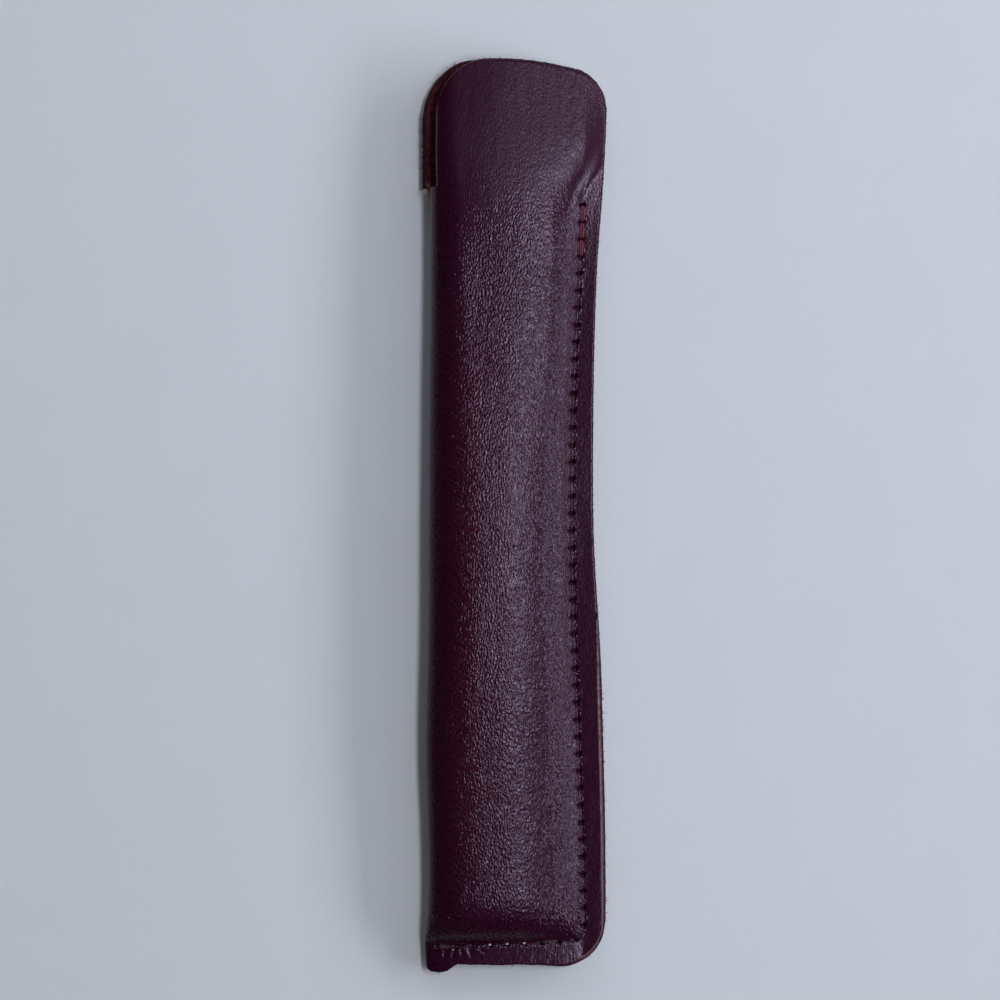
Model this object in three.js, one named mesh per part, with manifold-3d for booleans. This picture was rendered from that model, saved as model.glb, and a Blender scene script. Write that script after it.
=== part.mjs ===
// Leather sleeve for one fountain pen, lying on its back.
//
// One blank of leather is folded along its left long side. A lockstitch seam runs down the right side
// and across the bottom, so the sleeve opens only at the top. There the fold is slit, and the front and
// the back each end in a free rounded lip. The leather is modelled as bent sheets of one thickness:
// front panel, back panel and the spine fold between them, and the two lips, which bend at their roots.
// The seam is two threads that run through real needle holes and lock into each other inside them.
//
// Millimetres. X is across, Y points to the mouth, Z is up from the surface that the sleeve lies on.

import * as THREE from "three";
import { mergeVertices } from "three/addons/utils/BufferGeometryUtils.js";
import Module from "manifold-3d";

// Leather
const LEATHER = 1.2; // thickness of the leather
const LAYER_GAP = 0.1; // air between the two layers of the seam allowance
const ZONE_GAP = 0.1; // air between neighbouring zones of the blank

// Lengths along Y
const LIP_TOP = 80.1; // highest point of the lips' rounded ends
const LIP_ROOT = 57.6; // where the slit in the fold ends and the lips begin to bend
const SEAM_TOP = 54.5; // first needle hole
const SEAM_BOTTOM = -75.4; // bottom seam at the middle of its run
const SEAM_BOTTOM_SLOPE = 0.042; // the bottom seam climbs a little towards the right
const BOTTOM_EDGE = -79; // raw bottom edge of both panels
const EAR_DROP = 1.25; // how far the end of the fold sticks out below the bottom edge
const EAR_STARTS = -9.6; // X where the edge starts to run out into that rounded ear
const EAR_FULL = -12.6; // and where it is at its full length
const EAR_CORNER = 1.3; // rounded corner of the ear
const UNDER_EAR = 0.65; // share of the ear's drop on the back, where the fold was pulled up

// Widths along X, as [Y, X] places that smooth outlines run through
const SPINE_LINE = [
  [-80, -11.3], [-66, -11], [-42, -11.3], [-14, -10.95], [8, -11], [30, -10.6], [80, -10.4],
];
const SEAM_LINE = [
  [-78, 12.3], [-62, 12.1], [-40, 11.3], [-8, 10.3], [12, 10.3], [54.5, 12.1], [80, 12.8],
];
const EDGE_LINE = [
  [-80, 15.6], [-60, 15.6], [-32, 15], [-20, 14.7], [-4, 13.9], [18, 13.8], [44, 14.5], [60, 15.6],
  [71, 16.1], [80, 16.1],
];
const FOLD_REACH = 4.2; // the fold reaches this far left of the spine line
const FLAT_BESIDE_SEAM = 0.75; // the seam allowance is flat from this far left of the seam
const CREASE_AT_EDGE = 13; // above the seam the bulge's foot runs out to the edge over this length
const CREASE_TO_EDGE = 0.2; // and stops this far from it
const ABOVE_SEAM = 1; // things that change above the seam start to change this far below its end
const CORNER_RADIUS = 7.4; // bottom right corner
const LIP_CORNER_LEFT = 8.5; // rounded corners of the lips
const LIP_CORNER_RIGHT = 5;
const LIP_TOP_PEAK = -2.5; // X of the lips' highest point
const LIP_TOP_FALL = 0.0106; // how fast the end falls away from there, per mm squared
const BACK_LIP_LONGER = 0.25; // the back lip shows this far past the front lip
const FRONT_MARGIN_LEFT = 3.3; // the front lip reaches this far left of the spine line
const BACK_MARGIN_REACH = 5.7; // the back lip's margin, freed from the fold, opens this far left of it
const BACK_MARGIN_RISE = 1.9; // and curls up this high

// Heights of the grain side, as [Y, Z] places
const LIFT = [
  [-80, 1.2], [-66, 1.4], [-30, 1.7], [0, 1.9], [30, 2.3], [57, 2.3], [80, 1.9],
]; // under the seam
const PEAK_TOP = [
  [-80, 8], [-60, 8.4], [-32, 9.4], [10, 9.4], [42, 8.6], [60, 8.1], [80, 6.6],
]; // of the front
const ALLOWANCE_TILT = [
  [-80, 0.12], [-30, 0.12], [0, -0.02], [50, -0.1], [60, -0.3], [80, -0.3],
]; // the raw edge stands this much above the seam
const LIFT_FLAT = 1.2; // the back is fully lifted this close to the seam
const SIDE_LIFT_RUN = 8; // it starts to lift this far from the side seam
const BOTTOM_LIFT_RUN = 7; // or from the bottom seam
const PEAK_LOW = 5.6; // the front is highest this far right of the spine line, in the lower part,
const PEAK_HIGH = 2; // this far at the mouth
const PEAK_LIP = 0.4; // and this far on the lip
const PEAK_TURN = [52.5, 66.5]; // between these Y
const SHOULDER = 0.84; // power of the curve from the peak round to the fold: 1 is an ellipse
const WAIST = 0.47; // and ends at this share of the front's height
const FOLD_ROUND = 3; // the fold's round reaches this far out
const FOLD_ROUND_PER_HEIGHT = 1.1; // or, where it is pinched, this far for each mm of half its height
const EAR_BULGE = 0.6; // what is left of the bulge at the pinched end of the fold
const CLOSING_START = -62; // where the bulge starts to close towards the bottom seam
const CLOSING_POWER = 6; // 1 closes it at an even slope; more keeps it full for longer

// The right flank of the bulge, as [Y, value] places: level at first, then an even slope, then steep
// down to the crease.
const FLANK_STARTS = [
  [-80, 0.4], [0, 0.42], [30, 0.46], [52, 0.44], [64, 0.28], [80, 0.25],
]; // share of the way to the crease where the even slope starts
const FLANK_SHARE = [
  [-80, 0.85], [-54, 0.8], [-30, 0.66], [-10, 0.62], [8, 0.6], [20, 0.5], [32, 0.4], [48, 0.36], [56, 0.5],
  [66, 0.72], [80, 0.95],
]; // share of the height that the even slope takes
const FLANK_SHARPNESS = 10; // of the bend where the slope starts
const FLANK_FOOT_POWER = 14; // more makes the foot steeper
const FOOT_SHARPNESS = [30, 5]; // of the crease at the foot, beside the seam and above it
const FOOT_SOFTENS = 6; // over this length above the seam

// Seam
const STITCHES = 51;
const BACKTACK = 3; // stitches sewn twice at each end of the seam
const SEAM_CORNER = 3; // radius of the seam's turn
const SEAM_STEPS = 16; // places that the smooth side seam runs through
const SEAM_END = -13.4; // X of the last needle hole, in the end of the fold
const THREAD_RADIUS = 0.18;
const LEG = 0.4; // half the distance between a stitch's two legs in one hole
const HOLE_RADIUS = 0.7;
const THREAD_CLEAR = 0.06; // air between the threads and the leather

// Steps of the surfaces
const ROUND_STEPS = 6; // round the fold
const FRONT_COLUMNS = [0, 0.13, 0.26, 0.39, 0.52, 0.65, 0.76, 0.85, 0.91, 0.96, 1]; // spine to crease
const ALLOWANCE_STEPS = 6; // across the seam allowance and its rounded corner
const PANEL_STEPS = 14; // along the panels
const PANEL_CROWDING = 1.9; // 1 is evenly spaced; more crowds the rows towards the bottom seam
const LIP_STEPS = [14, 8]; // across a lip and along it
const MARGIN_STEPS = 5;

const SEWN_LAYERS = 2 * LEATHER + LAYER_GAP;

const wasm = await Module();
wasm.setup();

const { clamp, lerp, smoothstep } = THREE.MathUtils;
const share = (value, from, to) => clamp((value - from) / (to - from), 0, 1);

// A smooth function of Y through a few [Y, value] places.
function through(places) {
  const curve = new THREE.CubicInterpolant(places.map((p) => p[0]), places.map((p) => p[1]), 1);
  return (y) => curve.evaluate(y)[0];
}
const spineX = through(SPINE_LINE);
const seamX = through(SEAM_LINE);
const edgeX = through(EDGE_LINE);
const seamLift = through(LIFT);
const peakTop = through(PEAK_TOP);
const edgeTilt = through(ALLOWANCE_TILT);
const flankStart = through(FLANK_STARTS);
const flankShare = through(FLANK_SHARE);
const bottomSeamY = (x) => SEAM_BOTTOM + SEAM_BOTTOM_SLOPE * x;
const bottomCreaseY = (x) => bottomSeamY(x) + FLAT_BESIDE_SEAM;

// X of the front's highest line and of the foot of the bulge.
function peakX(y) {
  const beside = lerp(PEAK_LOW, PEAK_HIGH, smoothstep(y, 0, SEAM_TOP));
  return spineX(y) + lerp(beside, PEAK_LIP, smoothstep(y, ...PEAK_TURN));
}
function creaseX(y) {
  const runOut = smoothstep(y, SEAM_TOP - ABOVE_SEAM, SEAM_TOP + CREASE_AT_EDGE);
  return lerp(seamX(y) - FLAT_BESIDE_SEAM, edgeX(y) - CREASE_TO_EDGE, runOut);
}

// How far the peak stands above the sewn layers.
function crown(x, y) {
  const closing = share(y, CLOSING_START, bottomCreaseY(x)) ** CLOSING_POWER;
  return lerp(peakTop(y) - seamLift(y) - SEWN_LAYERS, EAR_BULGE, closing);
}

// value where it is above zero, rounded off to nothing below zero.
const softAbove = (value, sharpness) => Math.log1p(Math.exp(value * sharpness)) / sharpness;

// Share of the crown left at a place of the right flank; run is 0 on the peak and 1 in the crease.
function flank(run, y) {
  const start = flankStart(y);
  const level = softAbove(-start, FLANK_SHARPNESS);
  const slope = softAbove(run - start, FLANK_SHARPNESS) - level;
  const whole = softAbove(1 - start, FLANK_SHARPNESS) - level;
  const foot = (1 - flankShare(y)) * run ** FLANK_FOOT_POWER;
  const softened = smoothstep(y, SEAM_TOP - ABOVE_SEAM, SEAM_TOP + FOOT_SOFTENS);
  const sharpness = lerp(...FOOT_SHARPNESS, softened);
  return softAbove(1 - (flankShare(y) * slope) / whole - foot, sharpness);
}

// Heights of the grain side: on the back, on the front right of its peak, and all over the front.
const allowanceTilt = (x, y) => edgeTilt(y) * share(x, seamX(y), edgeX(y));
function backZ(x, y) {
  const side = smoothstep(x, seamX(y) - SIDE_LIFT_RUN, seamX(y) - LIFT_FLAT);
  const bottom = 1 - smoothstep(y, bottomSeamY(x) + LIFT_FLAT, bottomSeamY(x) + BOTTOM_LIFT_RUN);
  return seamLift(y) * (1 - (1 - side) * (1 - bottom)) + allowanceTilt(x, y);
}
function flankZ(x, y) {
  const run = Math.max(0, (x - peakX(y)) / (creaseX(y) - peakX(y)));
  return seamLift(y) + SEWN_LAYERS + crown(x, y) * flank(run, y) + allowanceTilt(x, y);
}
function frontZ(x, y) {
  return x < peakX(y) ? shoulderZ(x, y) : flankZ(x, y);
}

// Left of the peak the front curves down like the top of a broad ellipse.
function shoulderZ(x, y) {
  const top = flankZ(peakX(y), y);
  const waist = lerp(backZ(spineX(y), y), top, WAIST);
  const out = share(peakX(y) - x, 0, peakX(y) - spineX(y) + FOLD_REACH) ** (1 / SHOULDER);
  return lerp(waist, top, Math.sqrt(1 - out ** 2) ** SHOULDER);
}

// The middle of the fold's leather: u is -1 on the spine line's front, 0 and 1 where the round of the
// fold starts and ends, and 2 on the spine line's back.
function foldPoint(u, y) {
  const foot = backZ(spineX(y), y) + LEATHER / 2;
  const half = (frontZ(spineX(y), y) - LEATHER / 2 - foot) / 2;
  const round = Math.min(FOLD_ROUND, FOLD_ROUND_PER_HEIGHT * half);
  const straight = FOLD_REACH - LEATHER / 2 - round;
  const angle = clamp(u, 0, 1) * Math.PI;
  const beside = straight * (1 + Math.min(0, u) - Math.max(0, u - 1)) + round * Math.sin(angle);
  return new THREE.Vector3(spineX(y) - beside, y, foot + half * (1 + Math.cos(angle)));
}

// Outlines. distance is measured from the raw edge towards the inside.
const roundCorner = (distance, radius) =>
  distance >= radius ? 0 : radius - Math.sqrt(radius ** 2 - (radius - Math.max(0, distance)) ** 2);
const lipEnd = (x, left, right) =>
  LIP_TOP - LIP_TOP_FALL * (x - LIP_TOP_PEAK) ** 2 -
  roundCorner(x - left, LIP_CORNER_LEFT) - roundCorner(right - x, LIP_CORNER_RIGHT);
function bottomEnd(x, earShare) {
  const ear = EAR_DROP * earShare * (1 - smoothstep(x, EAR_FULL, EAR_STARTS));
  const earLeft = spineX(BOTTOM_EDGE) - FOLD_REACH;
  const leftCorner = roundCorner(x - earLeft, EAR_CORNER);
  const rightCorner = roundCorner(edgeX(BOTTOM_EDGE) - x, CORNER_RADIUS);
  return BOTTOM_EDGE - ear + leftCorner + rightCorner;
}

// Numbers in steps: evenly spaced, crowded towards 1, and crowded towards both 0 and 1.
const even = (from, to, steps) => Array.from({ length: steps + 1 }, (_, i) => lerp(from, to, i / steps));
const crowdedToOne = (steps) => even(0, Math.PI / 2, steps).map(Math.sin);
const crowdedToEnds = (steps) => even(0, Math.PI, steps).map((a) => (1 - Math.cos(a)) / 2);

// A closed sheet of the leather's thickness along surface(u, v). It lies from lower to upper times the
// thickness away from that surface, on the side that the cross product of the directions of u and v
// points to.
function sheet(surface, us, vs, lowerShare, upperShare) {
  const step = 1e-3;
  const nudge = (list, value) => (value < list.at(-1) ? step : -step);
  const upper = [];
  const lower = [];
  for (const v of vs) {
    for (const u of us) {
      const at = surface(u, v);
      const du = nudge(us, u);
      const dv = nudge(vs, v);
      const alongU = surface(u + du, v).sub(at).multiplyScalar(Math.sign(du));
      const alongV = surface(u, v + dv).sub(at).multiplyScalar(Math.sign(dv));
      const across = alongU.cross(alongV).setLength(LEATHER);
      upper.push(at.clone().addScaledVector(across, upperShare));
      lower.push(at.clone().addScaledVector(across, lowerShare));
    }
  }
  const columns = us.length;
  const rows = vs.length;
  const below = upper.length;
  const index = [];
  const quad = (a, b, c, d) => index.push(a, b, c, a, c, d);
  for (let i = 0; i + 1 < rows; i++) {
    for (let j = 0; j + 1 < columns; j++) {
      const a = i * columns + j;
      quad(a, a + 1, a + 1 + columns, a + columns);
      quad(below + a, below + a + columns, below + a + 1 + columns, below + a + 1);
    }
  }
  const wall = (a, b) => quad(below + a, below + b, b, a);
  for (let j = 0; j + 1 < columns; j++) {
    wall(j, j + 1);
    wall((rows - 1) * columns + j + 1, (rows - 1) * columns + j);
  }
  for (let i = 0; i + 1 < rows; i++) {
    wall((i + 1) * columns, i * columns);
    wall((i + 1) * columns - 1, (i + 2) * columns - 1);
  }
  return new THREE.BufferGeometry().setFromPoints([...upper, ...lower]).setIndex(index);
}

// The panels. u is 0 at the spine, 1 at the crease beside the seam and 2 at the raw edge; v is 0 at the
// bottom edge, 1 just above the bottom seam and 2 at the lips' roots.
const PANEL_TOP = LIP_ROOT - ZONE_GAP;
const ROW_CLIMB = 5; // the row above the bottom seam climbs over the rounded corner
const PASSES = 4; // x and y depend on each other, and settle in this many passes
function panelPoint(u, v, earShare, height) {
  let y = 0;
  let x = 0;
  for (let pass = 0; pass < PASSES; pass++) {
    const left = spineX(y) + ZONE_GAP;
    x = u < 1 ? lerp(left, creaseX(y), u) : lerp(creaseX(y), edgeX(y), u - 1);
    const bottom = bottomEnd(x, earShare);
    const crease = bottomCreaseY(x) + ROW_CLIMB * Math.max(0, u - 1);
    y = v < 1 ? lerp(bottom, crease, v) : lerp(crease, PANEL_TOP, v - 1);
  }
  return new THREE.Vector3(x, y, height(x, y));
}

function foldPanelPoint(u, v) {
  let point = foldPoint(u, SEAM_BOTTOM);
  for (let pass = 0; pass < PASSES; pass++) {
    const bottom = bottomEnd(point.x, lerp(1, UNDER_EAR, clamp(u, 0, 1)));
    const crease = bottomCreaseY(point.x);
    point = foldPoint(u, v < 1 ? lerp(bottom, crease, v) : lerp(crease, PANEL_TOP, v - 1));
  }
  return point;
}

// The lips. v runs from the root to the rounded end.
const LIP_START = LIP_ROOT + ZONE_GAP;
function frontLipPoint(u, v) {
  const left = spineX(LIP_TOP) - FRONT_MARGIN_LEFT;
  const right = edgeX(LIP_TOP);
  const y = lerp(LIP_START, lipEnd(lerp(left, right, u), left, right), v);
  const x = lerp(spineX(y) - FRONT_MARGIN_LEFT, edgeX(y), u);
  return new THREE.Vector3(x, y, frontZ(x, y));
}

// u from -1 to 0 is the curled-up margin, and from 0 to 1 the flat part.
function backLipPoint(u, v) {
  const left = spineX(LIP_TOP) - BACK_MARGIN_REACH;
  const right = edgeX(LIP_TOP);
  const flatX = u < 0 ? lerp(left, spineX(LIP_TOP), u + 1) : lerp(spineX(LIP_TOP), right, u);
  const y = lerp(LIP_START, lipEnd(flatX, left, right) + BACK_LIP_LONGER, v);
  const x = u < 0 ? spineX(y) + BACK_MARGIN_REACH * u : lerp(spineX(y), edgeX(y), u);
  return new THREE.Vector3(x, y, backZ(x, y) + BACK_MARGIN_RISE * Math.min(0, u) ** 2);
}

// The seam's path, as the middle of its needle holes seen from above.
function seamPath() {
  const cornerTop = bottomSeamY(seamX(SEAM_BOTTOM)) + SEAM_CORNER;
  const path = new THREE.CurvePath();
  const side = even(SEAM_TOP, cornerTop, SEAM_STEPS).map((y) => new THREE.Vector3(seamX(y), y, 0));
  path.add(new THREE.CatmullRomCurve3(side));
  const turn = side.at(-1);
  const corner = new THREE.Vector3(turn.x, bottomSeamY(turn.x), 0);
  const after = new THREE.Vector3(turn.x - SEAM_CORNER, bottomSeamY(turn.x - SEAM_CORNER), 0);
  path.add(new THREE.QuadraticBezierCurve3(turn, corner, after));
  path.add(new THREE.LineCurve3(after, new THREE.Vector3(SEAM_END, bottomSeamY(SEAM_END), 0)));
  return path;
}

// Each needle hole with its place, its direction along the seam and the leather's faces there.
function needleHoles() {
  const places = seamPath().getSpacedPoints(STITCHES);
  return places.map((at, i) => {
    const along = places[Math.min(i + 1, STITCHES)].clone().sub(places[Math.max(i - 1, 0)]).normalize();
    const x = Math.max(at.x, spineX(at.y));
    const front = frontZ(x, at.y);
    const back = backZ(x, at.y);
    return { at, along, across: new THREE.Vector3(along.y, -along.x, 0), front, back };
  });
}
const holes = needleHoles();

// A polyline as a curve that is stepped through corner by corner.
class Polyline extends THREE.Curve {
  constructor(points) {
    super();
    this.points = points;
  }
  getPointAt(t) {
    return this.points[Math.round(t * (this.points.length - 1))].clone();
  }
  getTangentAt(t) {
    const i = Math.round(t * (this.points.length - 1));
    const before = this.points[Math.max(i - 1, 0)];
    const after = this.points[Math.min(i + 1, this.points.length - 1)];
    return after.clone().sub(before).normalize();
  }
}

function threadGeometry(points) {
  const sides = 5;
  const round = even(0, 2 * Math.PI, sides)
    .slice(0, sides)
    .map((a) => new THREE.Vector2(THREAD_RADIUS * Math.cos(a), THREAD_RADIUS * Math.sin(a)));
  const options = { steps: points.length - 1, extrudePath: new Polyline(points), bevelEnabled: false };
  return new THREE.ExtrudeGeometry(new THREE.Shape(round), options);
}

// A thread's route: it lies on one face of the leather from hole to hole, and dips to the lock between
// the layers in each. The needle thread's legs stand one behind the other in the hole and the bobbin
// thread's side by side, so that each loop passes through the other. At both ends of the seam the
// thread runs back over its own last stitches and its cut end goes down into a hole.
function threadRoute(isNeedle) {
  const up = isNeedle ? 1 : -1;
  const face = (hole) => {
    return (isNeedle ? hole.front : hole.back) + up * (THREAD_RADIUS + THREAD_CLEAR);
  };
  const doubled = (hole) => face(hole) + up * (2 * THREAD_RADIUS + THREAD_CLEAR);
  const tail = (hole) => face(hole) - up * LEATHER / 2;
  const lock = (hole) => (hole.front + hole.back) / 2 - up * (THREAD_RADIUS + THREAD_CLEAR);
  const place = (hole, leg, z) => {
    const way = isNeedle ? hole.along : hole.across;
    return hole.at.clone().addScaledVector(way, leg).setZ(z);
  };
  const tack = (tacked) => [
    place(tacked[0], 0, tail(tacked[0])),
    ...tacked.map((hole) => place(hole, 0, doubled(hole))),
  ];

  const first = holes[0];
  const last = holes[STITCHES];
  const points = [...tack(holes.slice(1, BACKTACK + 1).reverse()), place(first, -LEG, doubled(first))];
  holes.forEach((hole, i) => {
    if (i > 0) points.push(place(hole, -LEG, face(hole)));
    points.push(place(hole, -LEG, lock(hole)), place(hole, LEG, lock(hole)));
    if (i < STITCHES) points.push(place(hole, LEG, face(hole)));
  });
  points.push(place(last, LEG, doubled(last)), ...tack(holes.slice(-BACKTACK - 1, -1)).reverse());
  return points;
}

function toSolid(geometry) {
  const bare = geometry.clone();
  bare.deleteAttribute("normal");
  bare.deleteAttribute("uv");
  const merged = mergeVertices(bare, 1e-4);
  const vertProperties = new Float32Array(merged.attributes.position.array);
  const triVerts = new Uint32Array(merged.index.array);
  return new wasm.Manifold(new wasm.Mesh({ numProp: 3, vertProperties, triVerts }));
}

function toGeometry(solid) {
  const mesh = solid.getMesh();
  return new THREE.BufferGeometry()
    .setAttribute("position", new THREE.BufferAttribute(mesh.vertProperties, 3))
    .setIndex(new THREE.BufferAttribute(mesh.triVerts, 1));
}

// The needle holes that go through a zone of the leather, cut out of it.
function punched(geometry) {
  const length = 30;
  const sides = 6;
  const needle = new THREE.CylinderGeometry(HOLE_RADIUS, HOLE_RADIUS, length, sides).rotateX(Math.PI / 2);
  let solid = toSolid(geometry);
  for (const { at } of holes) solid = solid.subtract(toSolid(needle.clone().translate(at.x, at.y, at.z)));
  return toGeometry(solid);
}

const leatherMaterial = () =>
  new THREE.MeshStandardMaterial({ color: 0x3a1420, roughness: 0.45, metalness: 0 });
const threadMaterial = () =>
  new THREE.MeshStandardMaterial({ color: 0x7c3038, roughness: 0.6, metalness: 0 });

function part(name, geometry, material) {
  const mesh = new THREE.Mesh(geometry, material);
  mesh.name = name;
  return mesh;
}

const FOLD_COLUMNS = [-1, -0.5, ...even(0, 1, ROUND_STEPS), 1.5, 2];
const climb = (t) => 1 + t ** PANEL_CROWDING;
const panelRows = [0, 0.5, ...even(0, 1, PANEL_STEPS).map(climb)];
const allowanceColumns = crowdedToOne(ALLOWANCE_STEPS).map((t) => 1 + t);
const frontColumns = [...FRONT_COLUMNS, ...allowanceColumns.slice(1)];
const backColumns = [0, 0.5, ...even(0.75, 1, 3), ...allowanceColumns.slice(1)];
const [lipAcross, lipAlong] = LIP_STEPS;
const backLipColumns = [...even(-1, 0, MARGIN_STEPS), ...crowdedToOne(lipAcross / 2).slice(1)];

const frontPanel = sheet((u, v) => panelPoint(u, v, 1, frontZ), frontColumns, panelRows, -1, 0);
const backPanel = sheet((u, v) => panelPoint(u, v, UNDER_EAR, backZ), backColumns, panelRows, 0, 1);
const spineFold = sheet(foldPanelPoint, FOLD_COLUMNS, panelRows, -0.5, 0.5);
const frontLip = sheet(frontLipPoint, crowdedToEnds(lipAcross), even(0, 1, lipAlong), -1, 0);
const backLip = sheet(backLipPoint, backLipColumns, even(0, 1, lipAlong), 0, 1);

const sleeve = new THREE.Group();
sleeve.add(
  part("front_panel", punched(frontPanel), leatherMaterial()),
  part("back_panel", punched(backPanel), leatherMaterial()),
  part("spine_fold", punched(spineFold), leatherMaterial()),
  part("front_lip", frontLip, leatherMaterial()),
  part("back_lip", backLip, leatherMaterial()),
  part("needle_thread", threadGeometry(threadRoute(true)), threadMaterial()),
  part("bobbin_thread", threadGeometry(threadRoute(false)), threadMaterial()),
);

// The origin is under the middle of the sleeve's outline, on the surface that it lies on.
const box = new THREE.Box3().setFromObject(sleeve);
const middle = box.getCenter(new THREE.Vector3());
sleeve.position.set(-middle.x, -middle.y, -box.min.z);

export default sleeve;
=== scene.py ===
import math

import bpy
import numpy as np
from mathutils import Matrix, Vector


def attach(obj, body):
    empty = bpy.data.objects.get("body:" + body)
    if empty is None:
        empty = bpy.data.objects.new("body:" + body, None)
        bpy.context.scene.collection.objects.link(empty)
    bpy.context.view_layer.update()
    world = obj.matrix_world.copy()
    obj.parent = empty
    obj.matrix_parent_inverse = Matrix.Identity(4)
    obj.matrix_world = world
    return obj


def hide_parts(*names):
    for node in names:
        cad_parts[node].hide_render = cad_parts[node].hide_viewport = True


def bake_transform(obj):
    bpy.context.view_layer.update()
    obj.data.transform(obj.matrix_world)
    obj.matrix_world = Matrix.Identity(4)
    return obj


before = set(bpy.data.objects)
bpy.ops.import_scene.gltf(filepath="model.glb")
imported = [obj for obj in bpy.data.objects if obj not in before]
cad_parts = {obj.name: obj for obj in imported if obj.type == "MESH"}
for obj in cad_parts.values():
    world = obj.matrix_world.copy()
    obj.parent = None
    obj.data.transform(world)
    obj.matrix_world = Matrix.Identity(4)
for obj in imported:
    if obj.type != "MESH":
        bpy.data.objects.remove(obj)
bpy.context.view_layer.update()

# Looks of the leather pen sleeve: moulded leather with its grain, flesh side and raw edges, a
# lockstitch in twisted thread, and the loose fibres of the raw edges.
#
# Shapes are in millimetres and become metres when a mesh is made. X is across, Y points to the mouth
# and Z is up. The outlines are those of the CAD model.

MM = 0.001

# Leather. A line along the sleeve is a list of (Y, X) places.
LEATHER = 1.2  # thickness
LIP_ROOT = 57.6  # Y where the slit ends and the lips begin to bend
LIP_TOP = 80.1  # Y of the lips' highest point
BOTTOM_EDGE = -79.0
SPINE_LINE = [
    (-80, -11.3), (-66, -11.0), (-42, -11.3), (-14, -10.95), (8, -11.0), (30, -10.6), (80, -10.4),
]
SEAM_LINE = [
    (-78, 12.3), (-62, 12.1), (-40, 11.3), (-8, 10.3), (12, 10.3), (54.5, 12.1), (80, 12.8),
]
EDGE_LINE = [
    (-80, 15.6), (-60, 15.6), (-32, 15.0), (-20, 14.7), (-4, 13.9), (18, 13.8), (44, 14.5), (60, 15.6),
    (71, 16.1), (80, 16.1),
]
FOLD_REACH = 4.2  # the fold reaches this far left of the spine line
CORNER_RADIUS = 7.4  # bottom right corner
LIP_TOP_PEAK = -2.5  # and its X
LIP_TOP_FALL = 0.0106  # how fast the lips' end falls away from there, per mm squared
LIP_CORNERS = (8.5, 5.0)  # radii of the lips' left and right corners
LIP_LEFT_SHARE = 0.563  # the front lip's left margin is this far round the shoulder
BACK_LIP_LONGER = 0.25  # the back lip shows this far past the front lip
BACK_MARGIN_REACH = 5.7  # its curled margin opens this far left of the spine line
BACK_MARGIN_RISE = 1.9  # and curls up this high
BACK_LAYER_PROUD = 0.38  # low down, the back layer shows this far past the front
EAR_DROP = 1.25  # how far the fold's rounded end, the ear, sticks out below the edge
EAR_STARTS = -9.6  # X where the edge starts to run into the ear
EAR_FULL = -12.6  # and where it is at its full length
EAR_CORNER = 1.3
UNDER_EAR = 0.65  # share of the ear's drop on the back
ABOVE_TABLE = 0.01  # least height of the leather

# Heights of the grain side, as (Y, Z) places
LIFT = [(-80, 1.2), (-66, 1.4), (-30, 1.7), (0, 1.9), (30, 2.3), (57, 2.3), (80, 1.9)]  # under the seam
PEAK_TOP = [(-80, 8.0), (-60, 8.4), (-32, 9.4), (10, 9.4), (42, 8.6), (60, 8.1), (80, 6.6)]
ALLOWANCE_TILT = [
    (-80, 0.12), (-30, 0.12), (0, -0.02), (50, -0.1), (60, -0.3), (80, -0.3),
]  # the raw edge stands this much above the seam
SEWN_LAYERS = 2.5  # both layers with the air between them
LIFT_FLAT = 1.2  # the back is fully lifted this close to the seam
SIDE_LIFT_RUN = 8  # it starts to lift this far from the side seam
BOTTOM_LIFT_RUN = 7  # or from the bottom seam
PEAK_LOW = 5.6  # the front is highest this far right of the spine line, in the lower part,
PEAK_HIGH = 2.0  # this far at the mouth
PEAK_LIP = 0.4  # and this far on the lip
PEAK_SHIFT = (0, 54)  # Y where it moves from the first to the second
PEAK_TURN = (52, 66)  # and from the second to the third
SHOULDER = 0.84  # power of the curve from the peak round to the fold: 1 is an ellipse
WAIST = 0.47  # the fold is widest at this share of the front's height
CREASE_INSIDE = 0.35  # the foot of the bulge lies this far inside the seam
CREASE_AT_EDGE = 13  # above the seam it runs out to the raw edge over this length
CREASE_TO_EDGE = 0.2  # and stops this far from it
ABOVE_SEAM = 1  # changes above the seam start this far below its end
EAR_BULGE = 0.6  # what is left of the bulge at the pinched end of the fold
CLOSING_START = -62  # Y where the bulge starts to close towards the bottom seam
CLOSING_POWER = 6  # more keeps it full for longer

# The bulge's right flank: level at first, then an even slope, then steep down to the crease
FLANK_STARTS = [
    (-80, 0.40), (0, 0.42), (30, 0.46), (52, 0.44), (64, 0.28), (80, 0.25),
]  # share of the way to the crease where the even slope starts
FLANK_SHARE = [
    (-80, 0.85), (-54, 0.8), (-30, 0.66), (-10, 0.62), (8, 0.6), (20, 0.5), (32, 0.4), (48, 0.36),
    (56, 0.5), (66, 0.72), (80, 0.95),
]  # share of the height that the even slope takes
FLANK_SHARPNESS = 10  # of the bend where the slope starts
FLANK_FOOT_POWER = 14  # more makes the foot steeper
FOOT_SHARPNESS = (30, 5)  # of the crease at the foot, beside the seam and above it
FOOT_SOFTENS = 6  # over this length above the seam

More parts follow.
